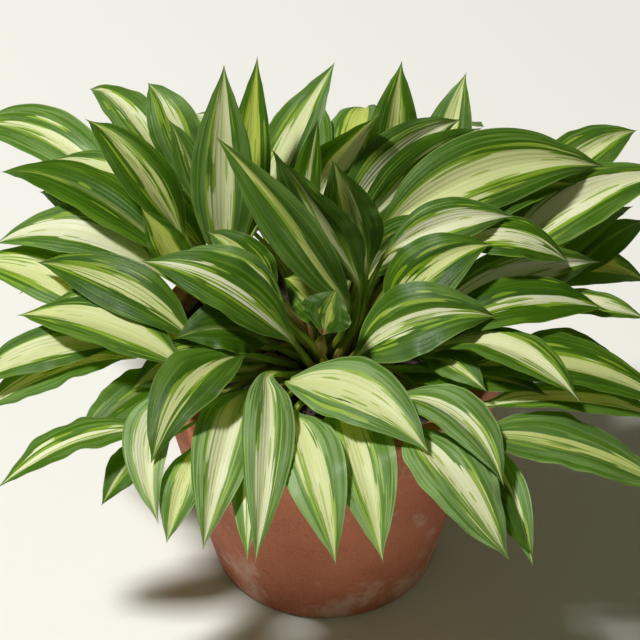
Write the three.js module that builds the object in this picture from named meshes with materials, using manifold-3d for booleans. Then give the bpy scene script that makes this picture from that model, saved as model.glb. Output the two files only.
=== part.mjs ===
// A potted hosta: a plain clay pot, the soil in it, and a clump of lance-shaped leaves on channelled
// stalks. Millimetres, +Z up. The origin is the middle of the pot's underside, and the front of the
// plant faces -Y.
import * as THREE from "three";
import { mergeVertices } from "three/addons/utils/BufferGeometryUtils.js";
import Module from "manifold-3d";

// Driving dimensions of the pot and its soil.
const POT_HEIGHT = 280;
const RIM_RADIUS = 176;
const RIM_DEPTH = 44;
const RIM_STEP = 9;
const FOOT_RADIUS = 118;
const WALL = 10;
const FLOOR_THICKNESS = 13;
const EDGE_ROUND = 3;
const POT_SIDES = 32;
const DRAIN_HOLES = 4;
const DRAIN_RADIUS = 7;
const DRAIN_CIRCLE = 50;
const SOIL_LEVEL = 262;
const SOIL_DOME = 5;
const CLEARANCE = 0.4;

// Stalk bases: they stand in plain holes in the soil, on a round crown.
const CROWN_RADIUS = 66;
const STUB_RADIUS = 4.9;
const STUB_DEPTH = 15;
const HOLE_SIDES = 6;
const STUB_SPACING = 13;
const JOINT_DEPTH = 7.5;
const CROWN_PIVOT = 50;
const MOST_STEMS = 58;

// One leaf's section and outline.
const STALK_HALF_WIDTH = 4;
const STALK_THICKNESS = 4.6;
const NECK_HALF_WIDTH = 5.5;
const NECK_THICKNESS = 3;
const RIB_THICKNESS = 1.5;
const BLADE_THICKNESS = 1.0;
const BLADE_STEPS = 6;
const BROADEST_AT = 0.42;
const TIP_POINT = 1.3;
const BLADE_ARCH = 0.09;
const BLADE_FOLD = 0.16;
const WAVE_HEIGHT = 0.075;
const WAVES = 1.6;

// How leaves are kept clear of each other.
const LEAF_GAP = 5;
const STALK_GAP = 8.5;
const BLADE_START = 3;
const REACH = 34;
const OFF_EDGE = 11;
const ROUNDS = 300;
const LEAST_FACING = 0.4;
const STIFFNESS = 0.3;

// The front is described as it looks from this tilt and distance: an end of a blade is [right, up,
// height], where right and up are its offsets from the middle of the crown in that view, and height is
// its real height above the soil.
const VIEW_TILT = THREE.MathUtils.degToRad(40);
const VIEW_DISTANCE = 2200;

// layer counts upwards from the leaves that lie lowest. crest is how far the blade arches above its
// chord, bow how far it swings to its left, and roll is in degrees. lift is how far the middle of the
// stalk is raised once the leaves are clear of each other.
const FRONT = [
  { layer: 0, base: [167, -88, 30], tip: [207, -208, -5], width: 34, crest: 15 },
  { layer: 0, base: [-175, -93, 20], tip: [-225, -156, 5], width: 40, crest: 12 },
  { layer: 1, base: [-75, -68, 32], tip: [-78, -208, -5], width: 42, crest: 20 },
  { layer: 1, base: [13, -53, 45], tip: [58, -210, 0], width: 62, crest: 28 },
  { layer: 1, base: [80, -73, 40], tip: [205, -200, 0], width: 56, crest: 22 },
  { layer: 1, base: [-150, -20, 35], tip: [-253, -100, 5], width: 50, crest: 15 },
  { layer: 1, base: [-139, -103, 30], tip: [-159, -193, 0], width: 36, crest: 12 },
  { layer: 2, base: [-89, -43, 42], tip: [-122, -198, 0], width: 56, crest: 30 },
  { layer: 2, base: [-35, -66, 42], tip: [11, -213, 0], width: 58, crest: 25 },
  { layer: 2, base: [95, -88, 45], tip: [190, -218, -5], width: 74, crest: 25, bow: -8 },
  { layer: 3, base: [-63, -20, 55], tip: [-69, -204, 5], width: 48, crest: 35, bow: 6 },
  { layer: 3, base: [-148, -40, 45], tip: [-165, -174, 10], width: 44, crest: 22, bow: -22 },
  { layer: 4, base: [73, -54, 45], tip: [185, -150, 30], width: 60, crest: 22, bow: 14 },
  { layer: 5, base: [-112, -12, 48], tip: [-201, -44, 30], width: 42, crest: 15 },
  { layer: 5, base: [-45, -30, 58], tip: [97, -93, 70], width: 70, crest: 16, bow: 8, roll: 20 },
  { layer: 6, base: [-88, -2, 75], tip: [-175, -116, 42], width: 66, crest: 24, bow: -8 },
];
const LEFT = [
  { layer: 1, base: [-190, -82, 28], tip: [-337, -143, 5], width: 68, crest: 18, roll: 15 },
  { layer: 2, base: [-205, -4, 40], tip: [-355, -68, 5], width: 62, crest: 18 },
  { layer: 3, base: [-225, 4, 50], tip: [-370, -43, 25], width: 50, crest: 18 },
  { layer: 3, base: [-205, 158, 85], tip: [-367, 220, 60], width: 66, crest: 38 },
  { layer: 4, base: [-150, 2, 58], tip: [-272, 50, 55], width: 74, crest: 22 },
  { layer: 3, base: [-212, 38, 62], tip: [-373, 90, 50], width: 62, crest: 22 },
  { layer: 4, base: [-170, 96, 70], tip: [-301, 162, 65], width: 50, crest: 18 },
  { layer: 4, base: [-160, 182, 120], tip: [-241, 264, 150], width: 50, crest: 25 },
  { layer: 5, base: [-165, -10, 65], tip: [-327, 36, 50], width: 62, crest: 20 },
  { layer: 5, base: [-170, 82, 75], tip: [-333, 100, 50], width: 60, crest: 38 },
  { layer: 5, base: [-160, 140, 108], tip: [-268, 191, 105], width: 48, crest: 20 },
  { layer: 5, base: [-135, 174, 140], tip: [-178, 270, 200], width: 50, crest: 20 },
  { layer: 6, base: [-150, 22, 80], tip: [-295, 90, 80], width: 54, crest: 20 },
  { layer: 6, base: [-150, 94, 100], tip: [-327, 180, 95], width: 64, crest: 32 },
  { layer: 6, base: [-120, 152, 130], tip: [-157, 234, 200], width: 32, crest: 12 },
  { layer: 7, base: [-146, 118, 102], tip: [-252, 241, 180], width: 56, crest: 22 },
  { layer: 7, base: [-78, 12, 60], tip: [-172, 2, 55], width: 56, crest: 14, roll: -25 },
];
const CENTRE = [
  { layer: 4, base: [105, 152, 110], tip: [142, 282, 230], width: 50, crest: 8 },
  { layer: 5, base: [63, 157, 130], tip: [77, 292, 260], width: 48, crest: 8 },
  { layer: 6, base: [-87, 112, 90], tip: [-68, 292, 262], width: 42, crest: 5 },
  { layer: 5, base: [-77, 116, 80], tip: [10, 290, 225], width: 68, crest: 10 },
  { layer: 6, base: [-11, 150, 135], tip: [56, 244, 230], width: 60, crest: 12 },
  { layer: 6, base: [-25, 112, 110], tip: [-7, 234, 240], width: 36, crest: 6 },
  { layer: 6, base: [23, 137, 130], tip: [135, 232, 190], width: 56, crest: 20 },
  { layer: 7, base: [37, 124, 130], tip: [146, 217, 170], width: 50, crest: 16 },
  { layer: 7, base: [-106, 96, 90], tip: [-101, 286, 285], width: 62, crest: 5 },
  { layer: 7, base: [-150, 62, 70], tip: [-184, 145, 150], width: 40, crest: 6 },
  { layer: 7, base: [4, 40, 48], tip: [-55, 76, 72], width: 58, crest: 14 },
  { layer: 8, base: [-57, 52, 90], tip: [-119, 123, 140], width: 48, crest: 16 },
  { layer: 9, base: [-45, 24, 75], tip: [-195, 90, 110], width: 62, crest: 24 },
  { layer: 8, base: [-42, 34, 85], tip: [-150, 100, 130], width: 48, crest: 20 },
  { layer: 10, base: [24, 58, 90], tip: [-116, 220, 228], width: 50, crest: 12, fold: 0.4, roll: -35 },
  { layer: 9, base: [33, 62, 105], tip: [-34, 190, 250], width: 64, crest: 10, fold: 0.3, roll: -30 },
  { layer: 8, base: [42, 78, 110], tip: [8, 192, 234], width: 56, crest: 10, fold: 0.3, roll: -15 },
  { layer: 11, base: [-2, 26, 96], tip: [14, 66, 122], width: 50, crest: 4 },
];
const RIGHT = [
  { layer: 1, base: [160, -92, 32], tip: [370, -154, 0], width: 76, crest: 20 },
  { layer: 2, base: [170, -60, 38], tip: [370, -80, 10], width: 60, crest: 20 },
  { layer: 2, base: [240, 72, 45], tip: [340, 140, 50], width: 44, crest: 12 },
  { layer: 3, base: [86, -20, 26], tip: [220, -76, 30], width: 60, crest: 18 },
  { layer: 3, base: [200, 7, 40], tip: [301, -10, 25], width: 40, crest: 10 },
  { layer: 4, base: [150, -18, 56], tip: [365, -66, 30], width: 76, crest: 28 },
  { layer: 4, base: [200, 42, 60], tip: [332, 28, 40], width: 50, crest: 16 },
  { layer: 4, base: [190, 66, 70], tip: [320, 149, 70], width: 52, crest: 16, lift: 4 },
  { layer: 4, base: [205, 148, 95], tip: [323, 226, 110], width: 54, crest: 16 },
  { layer: 5, base: [116, -12, 45], tip: [179, -63, 30], width: 34, crest: 10 },
  { layer: 5, base: [180, 90, 90], tip: [360, 177, 100], width: 72, crest: 32 },
  { layer: 6, base: [115, 2, 62], tip: [267, -66, 50], width: 64, crest: 24, bow: 8 },
  { layer: 6, base: [120, 34, 75], tip: [281, 90, 80], width: 58, crest: 18 },
  { layer: 6, base: [100, 114, 115], tip: [235, 166, 115], width: 56, crest: 22 },
  { layer: 7, base: [134, 24, 68], tip: [300, 33, 52], width: 66, crest: 24 },
  { layer: 8, base: [47, 78, 88], tip: [133, 110, 105], width: 50, crest: 24 },
  { layer: 7, base: [140, 106, 120], tip: [245, 80, 85], width: 52, crest: 20 },
  { layer: 7, base: [60, 126, 130], tip: [267, 184, 120], width: 78, crest: 36 },
  { layer: 8, base: [75, 110, 120], tip: [196, 134, 135], width: 46, crest: 14 },
  { layer: 8, base: [72, 44, 75], tip: [179, 106, 115], width: 68, crest: 20 },
  { layer: 8, base: [43, 0, 55], tip: [186, 29, 75], width: 74, crest: 24, roll: 8 },
];

// The side that faces away from that view follows a rule: rows of leaves round the back, each row higher
// than the last.
const BACK_SEED = 3;
const BACK_JITTER = 0.5;
const BACK_ROWS = [
  {
    layer: 1,
    count: 8,
    from: 16,
    to: 164,
    baseReach: 165,
    baseHeight: 58,
    tipReach: 338,
    tipHeight: 12,
    width: 64,
  },
  {
    layer: 3,
    count: 8,
    from: 27,
    to: 153,
    baseReach: 135,
    baseHeight: 105,
    tipReach: 300,
    tipHeight: 95,
    width: 58,
  },
];

const UP = new THREE.Vector3(0, 0, 1);
const wasm = await Module();
wasm.setup();

// Repeatable numbers from 0 to 1.
function seeded(seed) {
  let state = seed >>> 0;
  return () => {
    state = (Math.imul(state, 1664525) + 1013904223) >>> 0;
    return state / 2 ** 32;
  };
}

// The point, measured from the middle of the soil's surface, that shows at right and up in the front view.
function fromView([right, up, height]) {
  const sine = Math.sin(VIEW_TILT);
  const cosine = Math.cos(VIEW_TILT);
  const rise = up * (VIEW_DISTANCE - sine * height) - VIEW_DISTANCE * cosine * height;
  const y = rise / (VIEW_DISTANCE * sine - cosine * up);
  const depth = VIEW_DISTANCE + cosine * y - sine * height;
  return new THREE.Vector3((right * depth) / VIEW_DISTANCE, y, height);
}

function polar(degrees, reach, height) {
  const angle = THREE.MathUtils.degToRad(degrees);
  return new THREE.Vector3(reach * Math.cos(angle), reach * Math.sin(angle), height);
}

// A BufferGeometry as a solid, and a solid as a BufferGeometry.
function solidOf(geometry) {
  const plain = geometry.clone();
  plain.deleteAttribute("normal");
  plain.deleteAttribute("uv");
  const merged = mergeVertices(plain, 1e-3);
  return new wasm.Manifold(
    new wasm.Mesh({
      numProp: 3,
      vertProperties: new Float32Array(merged.attributes.position.array),
      triVerts: new Uint32Array(merged.index.array),
    }),
  );
}

function geometryOf(solid) {
  const mesh = solid.getMesh();
  const geometry = new THREE.BufferGeometry();
  geometry.setAttribute("position", new THREE.BufferAttribute(new Float32Array(mesh.vertProperties), 3));
  geometry.setIndex(new THREE.BufferAttribute(new Uint32Array(mesh.triVerts), 1));
  geometry.computeVertexNormals();
  return geometry;
}

function lathe(points, sides) {
  const geometry = new THREE.LatheGeometry(
    points.map(([r, z]) => new THREE.Vector2(r, z)),
    sides,
  );
  return geometry.rotateX(Math.PI / 2);
}

function uprightCylinder(radius, low, high, sides, x, y) {
  return new THREE.CylinderGeometry(radius, radius, high - low, sides)
    .rotateX(Math.PI / 2)
    .translate(x, y, (low + high) / 2);
}

// The pot's inner wall stands WALL inside its outer one, which widens evenly from the foot to below the
// rim.
function outerRadius(z) {
  return FOOT_RADIUS + ((RIM_RADIUS - RIM_STEP - FOOT_RADIUS) * z) / (POT_HEIGHT - RIM_DEPTH);
}

function innerRadius(z) {
  return Math.min(outerRadius(z), RIM_RADIUS - RIM_STEP) - WALL;
}

function potGeometry() {
  const underRim = POT_HEIGHT - RIM_DEPTH;
  const profile = [
    [0, 0],
    [FOOT_RADIUS - EDGE_ROUND, 0],
    [FOOT_RADIUS, EDGE_ROUND],
    [outerRadius(underRim), underRim],
    [RIM_RADIUS - EDGE_ROUND, underRim],
    [RIM_RADIUS, underRim + EDGE_ROUND],
    [RIM_RADIUS, POT_HEIGHT - EDGE_ROUND],
    [RIM_RADIUS - EDGE_ROUND, POT_HEIGHT],
    [innerRadius(underRim) + EDGE_ROUND, POT_HEIGHT],
    [innerRadius(underRim), POT_HEIGHT - EDGE_ROUND],
    [innerRadius(underRim), underRim],
    [innerRadius(FLOOR_THICKNESS), FLOOR_THICKNESS],
    [0, FLOOR_THICKNESS],
  ];
  let pot = solidOf(lathe(profile, POT_SIDES));
  for (let i = 0; i < DRAIN_HOLES; i++) {
    const spot = polar((i * 360) / DRAIN_HOLES + 45, DRAIN_CIRCLE, 0);
    const drill = uprightCylinder(DRAIN_RADIUS, -CLEARANCE, FLOOR_THICKNESS + CLEARANCE, 12, spot.x, spot.y);
    pot = pot.subtract(solidOf(drill));
  }
  return geometryOf(pot);
}

// A six-sided hole that holds one stalk base, or is stretched to hold two.
function holeOutline(from, to) {
  const angle = Math.atan2(to.y - from.y, to.x - from.x);
  const radius = (STUB_RADIUS + CLEARANCE) / Math.cos(Math.PI / HOLE_SIDES);
  const points = [];
  for (let i = 0; i < HOLE_SIDES; i++) {
    const turn = (i * 2 * Math.PI) / HOLE_SIDES;
    const end = Math.cos(turn) > 0 ? to : from;
    const around = angle + turn;
    points.push(new THREE.Vector2(end.x + radius * Math.cos(around), end.y + radius * Math.sin(around)));
  }
  return new THREE.Shape(points);
}

// The soil fills the pot and rises a little to the crown. Each stem stands in a plain hole in it.
function soilGeometry(stems) {
  const underRim = POT_HEIGHT - RIM_DEPTH;
  const profile = [
    [0, FLOOR_THICKNESS + CLEARANCE],
    [innerRadius(FLOOR_THICKNESS) - 2 * CLEARANCE, FLOOR_THICKNESS + CLEARANCE],
    [innerRadius(underRim) - CLEARANCE, underRim],
    [innerRadius(underRim) - CLEARANCE, SOIL_LEVEL - SOIL_DOME],
    [CROWN_RADIUS + 2 * STUB_RADIUS, SOIL_LEVEL],
    [0, SOIL_LEVEL],
  ];
  let soil = solidOf(lathe(profile, POT_SIDES));
  const bottom = SOIL_LEVEL - STUB_DEPTH - CLEARANCE;
  for (const [first, second = first] of stems) {
    const drill = new THREE.ExtrudeGeometry(holeOutline(first.ground, second.ground), {
      depth: SOIL_LEVEL + 1 - bottom,
      bevelEnabled: false,
    });
    soil = soil.subtract(solidOf(drill.translate(0, 0, bottom)));
  }
  return geometryOf(soil);
}

// Half the blade's width at u, from 0 at its base to 1 at its tip, as a share of the widest.
function outline(u) {
  const rise = (TIP_POINT * BROADEST_AT) / (1 - BROADEST_AT);
  const shape = (t) => Math.pow(t, rise) * Math.pow(1 - t, TIP_POINT);
  return shape(u) / shape(BROADEST_AT);
}

// All leaves as they are meant to lie, with blade ends measured from the middle of the soil's surface.
function plannedLeaves() {
  const planned = [];
  for (const [side, list] of Object.entries({ front: FRONT, left: LEFT, centre: CENTRE, right: RIGHT })) {
    list.forEach((leaf, i) => {
      const ends = { base: fromView(leaf.base), tip: fromView(leaf.tip) };
      planned.push({ ...leaf, ...ends, name: `${side}_${i + 1}`, inView: true });
    });
  }
  const random = seeded(BACK_SEED);
  const around = () => (random() - 0.5) * BACK_JITTER;
  BACK_ROWS.forEach((row, r) => {
    for (let i = 0; i < row.count; i++) {
      const step = (row.to - row.from) / (row.count - 1);
      const azimuth = row.from + step * (i + around());
      const base = polar(azimuth, row.baseReach, row.baseHeight * (1 + around()));
      const bearing = azimuth + step * around();
      planned.push({
        name: `back_${r * row.count + i + 1}`,
        layer: row.layer,
        base,
        tip: polar(bearing, row.tipReach * (1 + 0.2 * around()), row.tipHeight + 40 * around()),
        width: row.width * (1 + 0.3 * around()),
        crest: 30,
      });
    }
  });
  planned.forEach((leaf, i) => {
    const reach = Math.hypot(leaf.base.x, leaf.base.y);
    const inward = reach / (reach + leaf.base.z);
    leaf.root = leaf.base.clone().setZ(0).setLength(CROWN_RADIUS * inward);
    leaf.phase = 2.4 * i;
  });
  return planned.sort((a, b) => a.layer - b.layer);
}

// The stalk bases are pushed apart until each has its own place on the crown. Two leaves trade places
// where that brings them nearer to the places meant for them.
function spaceOut(leaves) {
  const meant = new Map(leaves.map((leaf) => [leaf, leaf.root.clone()]));
  const strain = (leaf, root) => root.distanceToSquared(meant.get(leaf));
  for (let round = 0; round < 400; round++) {
    for (const a of leaves) {
      for (const b of leaves) {
        if (a === b) continue;
        if (strain(a, b.root) + strain(b, a.root) < strain(a, a.root) + strain(b, b.root)) {
          [a.root, b.root] = [b.root, a.root];
        }
        const apart = a.root.distanceTo(b.root);
        if (apart >= STUB_SPACING) continue;
        const push = a.root.clone().sub(b.root);
        push.x += 0.01;
        push.setLength((STUB_SPACING - apart) / 2);
        a.root.add(push);
        b.root.sub(push);
      }
      a.root.clampLength(0, CROWN_RADIUS);
    }
  }
}

// The nearest leaves are joined in pairs at their bases, until there are MOST_STEMS stems of one or two
// leaves. The leaf of a pair whose tip is further to the left is named first.
function stemsFor(leaves) {
  const near = [];
  leaves.forEach((a, i) => {
    for (const b of leaves.slice(i + 1)) near.push([a, b, a.root.distanceTo(b.root)]);
  });
  near.sort((p, q) => p[2] - q[2]);
  const stems = [];
  const taken = new Set();
  for (const [a, b] of near) {
    if (leaves.length - stems.length <= MOST_STEMS) break;
    if (taken.has(a) || taken.has(b)) continue;
    stems.push(a.line.at(-1).x < b.line.at(-1).x ? [a, b] : [b, a]);
    taken.add(a).add(b);
  }
  return [...stems, ...leaves.filter((leaf) => !taken.has(leaf)).map((leaf) => [leaf])];
}

// A leaf's centreline as stations: the stub's foot, the soil, the stalk's middle, the blade's base,
// steps along the blade, and its tip. Each has its section: half width, lift of the top at half and full
// width, and thickness.
function layOut(leaf) {
  const ground = leaf.root.clone().setZ(1);
  const chord = leaf.tip.clone().sub(leaf.base);
  const left = new THREE.Vector3().crossVectors(UP, chord).normalize();
  const control = leaf.base
    .clone()
    .add(leaf.tip)
    .multiplyScalar(0.5)
    .addScaledVector(UP, 2 * leaf.crest)
    .addScaledVector(left, 2 * (leaf.bow ?? 0));
  const blade = new THREE.QuadraticBezierCurve3(leaf.base, control, leaf.tip);
  const along = blade.getTangent(0);
  const span = ground.distanceTo(leaf.base);
  const rising = leaf.root.clone().setZ(CROWN_PIVOT).normalize();
  const stalk = new THREE.CubicBezierCurve3(
    ground,
    ground.clone().addScaledVector(rising, 0.4 * span),
    leaf.base.clone().addScaledVector(along, -0.35 * span),
    leaf.base,
  );
  leaf.ground = ground;
  leaf.line = [leaf.root.clone().setZ(-STUB_DEPTH), ground, stalk.getPointAt(0.5), leaf.base.clone()];
  const fold = leaf.fold ?? BLADE_FOLD;
  leaf.section = [
    { half: STUB_RADIUS, mid: [0, 0], edge: [0, 0] },
    { half: STUB_RADIUS, mid: [0, 0], edge: [0, 0] },
    {
      half: STALK_HALF_WIDTH,
      mid: [0.8, 0.8],
      edge: [1.6, 1.6],
      rib: STALK_THICKNESS,
      skin: STALK_THICKNESS * 0.8,
    },
    {
      half: NECK_HALF_WIDTH,
      mid: [1.2, 1.2],
      edge: [2.4, 2.4],
      rib: NECK_THICKNESS,
      skin: NECK_THICKNESS * 0.7,
    },
  ];
  for (let i = 1; i <= BLADE_STEPS; i++) {
    const u = i / BLADE_STEPS;
    const half = (leaf.width / 2) * outline(u) + NECK_HALF_WIDTH * (1 - u) * 0.4;
    const swell = WAVE_HEIGHT * Math.sin(Math.PI * u);
    const wave = (side) => swell * Math.sin(2 * Math.PI * WAVES * u + leaf.phase + side);
    leaf.line.push(blade.getPointAt(u));
    leaf.section.push({
      half,
      mid: [0, 1.9].map((side) => half * (0.5 * fold + BLADE_ARCH + 0.4 * wave(side))),
      edge: [0, 1.9].map((side) => half * (fold + wave(side))),
      rib: THREE.MathUtils.lerp(NECK_THICKNESS, RIB_THICKNESS, Math.min(1, 3 * u)),
      skin: BLADE_THICKNESS,
    });
  }
  leaf.lengths = leaf.line.slice(1).map((point, i) => point.distanceTo(leaf.line[i]));
  leaf.planned = leaf.line.map((point) => point.clone());
  leaf.turned = leaf.line.map(() => 0);
  leaf.across = left;
  setSides(leaf);
}

// The unit vectors across each station and out of the leaf's top. Unrolled, the blade lies level from
// side to side.
function setSides(leaf) {
  const { line } = leaf;
  leaf.side = [];
  leaf.normal = [];
  line.forEach((_, k) => {
    const next = line[Math.min(k + 1, line.length - 1)];
    const tangent = next
      .clone()
      .sub(line[Math.max(k - 1, 0)])
      .normalize();
    const share = Math.min(1, Math.max(0, (k - 1) / 3));
    const roll = THREE.MathUtils.degToRad(leaf.roll ?? 0) * share + leaf.turned[k];
    const across = leaf.across.clone().projectOnPlane(tangent).normalize().applyAxisAngle(tangent, roll);
    leaf.side.push(across);
    leaf.normal.push(new THREE.Vector3().crossVectors(tangent, across).normalize());
  });
}

// The top of the leaf at station k, at share c of its half width: c runs from -1 to 1 in steps of a half.
const ACROSS = [-1, -0.5, 0, 0.5, 1];
function topPoint(leaf, k, c) {
  const { half, mid, edge } = leaf.section[k];
  const lift = Math.abs(c) > 0.75 ? edge[c > 0 ? 1 : 0] : Math.abs(c) > 0.25 ? mid[c > 0 ? 1 : 0] : 0;
  return leaf.line[k]
    .clone()
    .addScaledVector(leaf.side[k], c * half)
    .addScaledVector(leaf.normal[k], lift);
}

// Points spread over the top of the leaf, with the surface's normal at each, the station before it and
// the share on.
const SAMPLE_STEP = 11;
const FINER_ACROSS = 2;
function spread(leaf) {
  const rows = leaf.line.map((_, k) => ACROSS.map((c) => topPoint(leaf, k, c)));
  const points = [];
  const box = new THREE.Box3();
  for (let k = 1; k < leaf.line.length - 1; k++) {
    const steps = Math.ceil(leaf.lengths[k] / SAMPLE_STEP);
    for (let i = 0; i < steps; i++) {
      const f = (i + 0.5) / steps;
      for (let c = 0; c < ACROSS.length - 1; c++) {
        for (let j = 0; j < FINER_ACROSS; j++) {
          const g = (j + 0.5) / FINER_ACROSS;
          const near = rows[k][c].clone().lerp(rows[k][c + 1], g);
          const far = rows[k + 1][c].clone().lerp(rows[k + 1][c + 1], g);
          const right = rows[k][c].clone().lerp(rows[k + 1][c], f);
          const left = rows[k][c + 1].clone().lerp(rows[k + 1][c + 1], f);
          const normal = far.clone().sub(near).cross(left.clone().sub(right)).normalize();
          const at = near.clone().lerp(far, f);
          box.expandByPoint(at);
          const place = { k, f, c: ACROSS[c] + g / 2 };
          points.push({ x: at.x, y: at.y, z: at.z, nx: normal.x, ny: normal.y, nz: normal.z, ...place });
        }
      }
    }
  }
  return { points, box: box.expandByScalar(LEAF_GAP) };
}

// Where upper, a leaf nearer the middle of the clump, comes under or too near lower, both are told to
// move apart. Two stalks only move apart, whichever passes over the other.
function pushApart(lower, upper) {
  const box = lower.spread.box;
  const other = upper.spread.box;
  if (!box.intersectsBox(other)) return 0;
  const candidates = lower.spread.points.filter((q) => other.containsPoint(q));
  let worst = 0;
  for (const p of upper.spread.points) {
    if (!box.containsPoint(p)) continue;
    let nearest = null;
    let least = REACH * REACH;
    for (const q of candidates) {
      const distance = (p.x - q.x) ** 2 + (p.y - q.y) ** 2 + (p.z - q.z) ** 2;
      if (distance < least) {
        least = distance;
        nearest = q;
      }
    }
    if (!nearest) continue;
    const q = nearest;
    if (p.k < BLADE_START && q.k < BLADE_START) {
      const apart = Math.max(Math.sqrt(least), 0.1);
      if (apart >= STALK_GAP) continue;
      const away = { nx: (p.x - q.x) / apart, ny: (p.y - q.y) / apart, nz: (p.z - q.z) / apart };
      worst = Math.max(worst, STALK_GAP - apart);
      lean(upper, p, away, (STALK_GAP - apart) / 2);
      lean(lower, q, away, (apart - STALK_GAP) / 2);
      continue;
    }
    const above = (p.x - q.x) * q.nx + (p.y - q.y) * q.ny + (p.z - q.z) * q.nz;
    const gap = p.k < BLADE_START ? STALK_GAP : LEAF_GAP;
    if (above >= gap || least - above * above > OFF_EDGE * OFF_EDGE) continue;
    worst = Math.max(worst, gap - above);
    lean(upper, p, q, (gap - above) / 2);
    lean(lower, q, q, (above - gap) / 2);
  }
  return worst;
}

// Adds a push of that amount, along the normal of at, to the stations either side of point. A leaf of
// the front moves along the line of sight where it can, so that it keeps its place in that view.
const SIGHT = new THREE.Vector3(0, -Math.cos(VIEW_TILT), Math.sin(VIEW_TILT));
function lean(leaf, point, at, amount) {
  const normal = new THREE.Vector3(at.nx, at.ny, at.nz);
  const facing = normal.dot(SIGHT);
  const holds = leaf.inView && facing > LEAST_FACING;
  const move = holds ? SIGHT.clone().multiplyScalar(amount / facing) : normal.clone().multiplyScalar(amount);
  for (const [k, share] of [
    [point.k, 1 - point.f],
    [point.k + 1, point.f],
  ]) {
    const push = leaf.pushes[k];
    push.move.addScaledVector(move, share);
    push.turn += (share * amount * normal.dot(leaf.normal[k]) * point.c) / Math.max(12, leaf.section[k].half);
    push.weight += share;
  }
}

// The lowest that a leaf may hang at this distance from the middle: over the soil, and over the pot's rim.
function floorAt(reach) {
  if (reach < innerRadius(POT_HEIGHT) - 12) return LEAF_GAP;
  return reach < RIM_RADIUS + 12 ? POT_HEIGHT - SOIL_LEVEL + LEAF_GAP : -Infinity;
}

// One round of moving the stations: by the mean push, smoothed along the leaf, at the leaf's own lengths.
function settle(leaf) {
  const { line, planned, pushes, turned, lengths } = leaf;
  const last = line.length - 1;
  for (let k = 2; k <= last; k++) {
    const { move, turn, weight } = pushes[k];
    if (weight) {
      line[k].addScaledVector(move, 1 / Math.max(weight, 1));
      turned[k] += THREE.MathUtils.clamp(turn / Math.max(weight, 1), -0.1, 0.1);
    }
  }
  const shift = line.map((point, k) => point.clone().sub(planned[k]));
  for (let k = 2; k <= last; k++) {
    const next = Math.min(k + 1, last);
    const even = shift[k - 1].clone().add(shift[next]).multiplyScalar(0.5);
    line[k].copy(planned[k]).add(shift[k].clone().lerp(even, k === last ? 0 : STIFFNESS));
    turned[k] += STIFFNESS * ((turned[k - 1] + turned[next]) / 2 - turned[k]);
  }
  const lift = line.map(() => 0);
  for (const point of spread(leaf).points) {
    const short = floorAt(Math.hypot(point.x, point.y)) - point.z;
    if (short > lift[point.k]) lift[point.k] = short;
    if (short > lift[point.k + 1]) lift[point.k + 1] = short;
  }
  for (let k = 2; k <= last; k++) {
    if (leaf.inView) line[k].addScaledVector(SIGHT, lift[k] / SIGHT.z);
    else line[k].z += lift[k];
    const step = line[k].clone().sub(line[k - 1]).normalize();
    line[k].copy(line[k - 1]).addScaledVector(step, lengths[k - 1]);
  }
  setSides(leaf);
}

function untangle(leaves) {
  for (let round = 0; round < ROUNDS; round++) {
    for (const leaf of leaves) {
      leaf.spread = spread(leaf);
      leaf.pushes = leaf.line.map(() => ({ move: new THREE.Vector3(), turn: 0, weight: 0 }));
    }
    let worst = 0;
    leaves.forEach((upper, i) => {
      for (const lower of leaves.slice(0, i)) worst = Math.max(worst, pushApart(lower, upper));
    });
    if (worst < LEAF_GAP / 2) break;
    leaves.forEach(settle);
  }
}

// Eight points round a stalk base, at angles that run the same way as the rings further up.
function baseAngles(leaf) {
  const first = Math.atan2(-leaf.across.y, -leaf.across.x);
  return Array.from({ length: 8 }, (_, i) => first - (i * Math.PI) / 4);
}

// The ring of eight points round station k: over the top from one edge to the other, and back underneath.
function ring(leaf, k) {
  if (k < 2) {
    return baseAngles(leaf).map((angle) => {
      const spoke = new THREE.Vector3(Math.cos(angle), Math.sin(angle), 0);
      return leaf.line[k].clone().addScaledVector(spoke, STUB_RADIUS);
    });
  }
  const { rib, skin } = leaf.section[k];
  const top = ACROSS.map((c) => topPoint(leaf, k, c));
  const under = [0.5, 0, -0.5].map((c) =>
    topPoint(leaf, k, c).addScaledVector(leaf.normal[k], c === 0 ? -rib : -skin),
  );
  return [...top, ...under];
}

// Two leaves of a stem meet below the soil in one upright ring. This gives each leaf's order of that
// ring's points.
function jointOrder(leaf, outward, aside) {
  return baseAngles(leaf).map((angle) => {
    const spoke = new THREE.Vector3(Math.cos(angle), Math.sin(angle), 0);
    const around = Math.atan2(-spoke.dot(outward), spoke.dot(aside));
    return (Math.round(around / (Math.PI / 4)) + 8) % 8;
  });
}

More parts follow.
